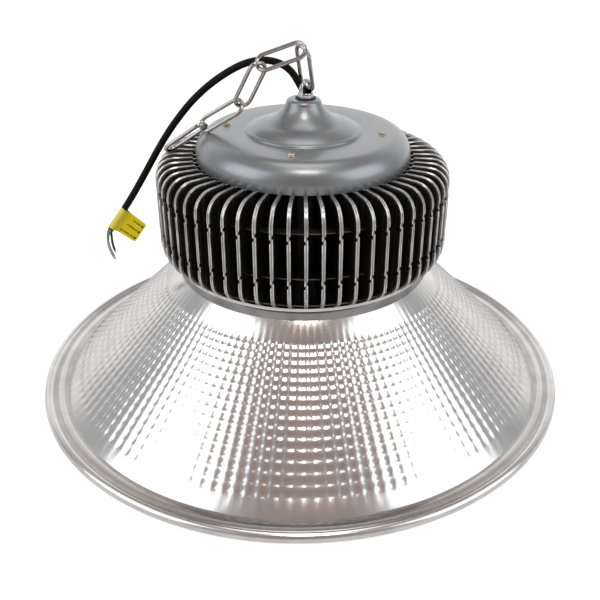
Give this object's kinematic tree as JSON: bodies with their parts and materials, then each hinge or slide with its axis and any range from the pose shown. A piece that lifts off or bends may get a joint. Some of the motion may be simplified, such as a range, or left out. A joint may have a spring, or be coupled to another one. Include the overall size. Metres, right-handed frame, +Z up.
{
  "type": "high bay light",
  "caption": "Round high bay light with a dimpled reflector, a ring of cooling fins, a pressed cover with a bell, a hanging loop, a short chain and a mains cable.",
  "frame": {"origin": "centre of the circle that the rim stands on", "axes": "+Z up along the light's axis, -Y the front, the chain and the cable leave towards -X"},
  "size_m": [0.5, 0.5, 0.3209],
  "materials": {
    "spun_aluminium": "polished, dimpled",
    "screw_steel": "zinc plated",
    "screw_nickel": "nickel-plated brass",
    "black_rubber": "matt",
    "cast_alloy": "machined",
    "board_white": "solder mask",
    "led_yellow": "phosphor",
    "clear_glass": "clear",
    "pale_silicone": "matt",
    "fin_aluminium": "bare stamped sheet",
    "driver_grey": "satin",
    "lead_red": "extruded",
    "cable_black": "extruded, slight sheen",
    "cover_grey": "smooth metallic paint",
    "loop_chrome": "bright plated",
    "link_chrome": "bright plated",
    "label_yellow": "folded film",
    "core_brown": "extruded",
    "core_blue": "extruded",
    "core_green": "extruded, pale",
    "tinned_copper": "stranded"
  },
  "bodies": {
    "housing": {"reflector": "spun_aluminium", "reflector_screws": "screw_steel", "neck_gasket": "black_rubber", "base_plate": "cast_alloy", "led_board": "board_white", "led_chips": "led_yellow", "cover_glass": "clear_glass", "glass_gasket": "pale_silicone", "glass_bezel": "cast_alloy", "bezel_screws": "screw_steel", "core_tube": "cast_alloy", "cooling_fins": "fin_aluminium", "top_plate": "fin_aluminium", "driver_case": "driver_grey", "driver_screws": "screw_steel", "led_lead_red": "lead_red", "led_lead_black": "cable_black", "cover_standoffs": "screw_steel", "top_cover": "cover_grey", "cover_screws": "screw_nickel", "cover_washers": "screw_nickel", "loop_seal": "black_rubber", "hanging_loop": "loop_chrome", "loop_nut": "screw_steel", "loop_washer": "screw_steel", "inner_lead": "cable_black", "mains_cable": "cable_black", "cable_label": "label_yellow", "core_brown": "core_brown", "core_blue": "core_blue", "core_earth": "core_green", "core_strands": "tinned_copper"},
    "link_1": {"chain_link_1": "link_chrome"},
    "link_2": {"chain_link_2": "link_chrome"},
    "link_3": {"chain_link_3": "link_chrome"},
    "link_4": {"chain_link_4": "link_chrome"},
    "link_5": {"chain_link_5": "link_chrome"}
  },
  "joints": [
    {"name": "chain_hinge_1", "type": "hinge", "parent": "housing", "child": "link_1", "pos_m": [0.00247, 0.00004, 0.28574], "axis": [0.7408, 0.5853, 0.3295], "range_deg": [0, 40]},
    {"name": "chain_hinge_2", "type": "hinge", "parent": "link_1", "child": "link_2", "pos_m": [-0.00067, -0.01024, 0.31106], "axis": [0.7408, 0.5853, 0.3295], "range_deg": [0, 40]},
    {"name": "chain_hinge_3", "type": "hinge", "parent": "link_2", "child": "link_3", "pos_m": [-0.03905, -0.00911, 0.2966], "axis": [-0.4682, 0.8075, 0.3588], "range_deg": [0, 40]},
    {"name": "chain_hinge_4", "type": "hinge", "parent": "link_3", "child": "link_4", "pos_m": [-0.05115, -0.00529, 0.2722], "axis": [-0.4682, 0.8075, 0.3588], "range_deg": [0, 40]},
    {"name": "chain_hinge_5", "type": "hinge", "parent": "link_4", "child": "link_5", "pos_m": [-0.09138, -0.00278, 0.24449], "axis": [-0.4666, 0.5043, 0.7266], "range_deg": [0, 40]}
  ]
}
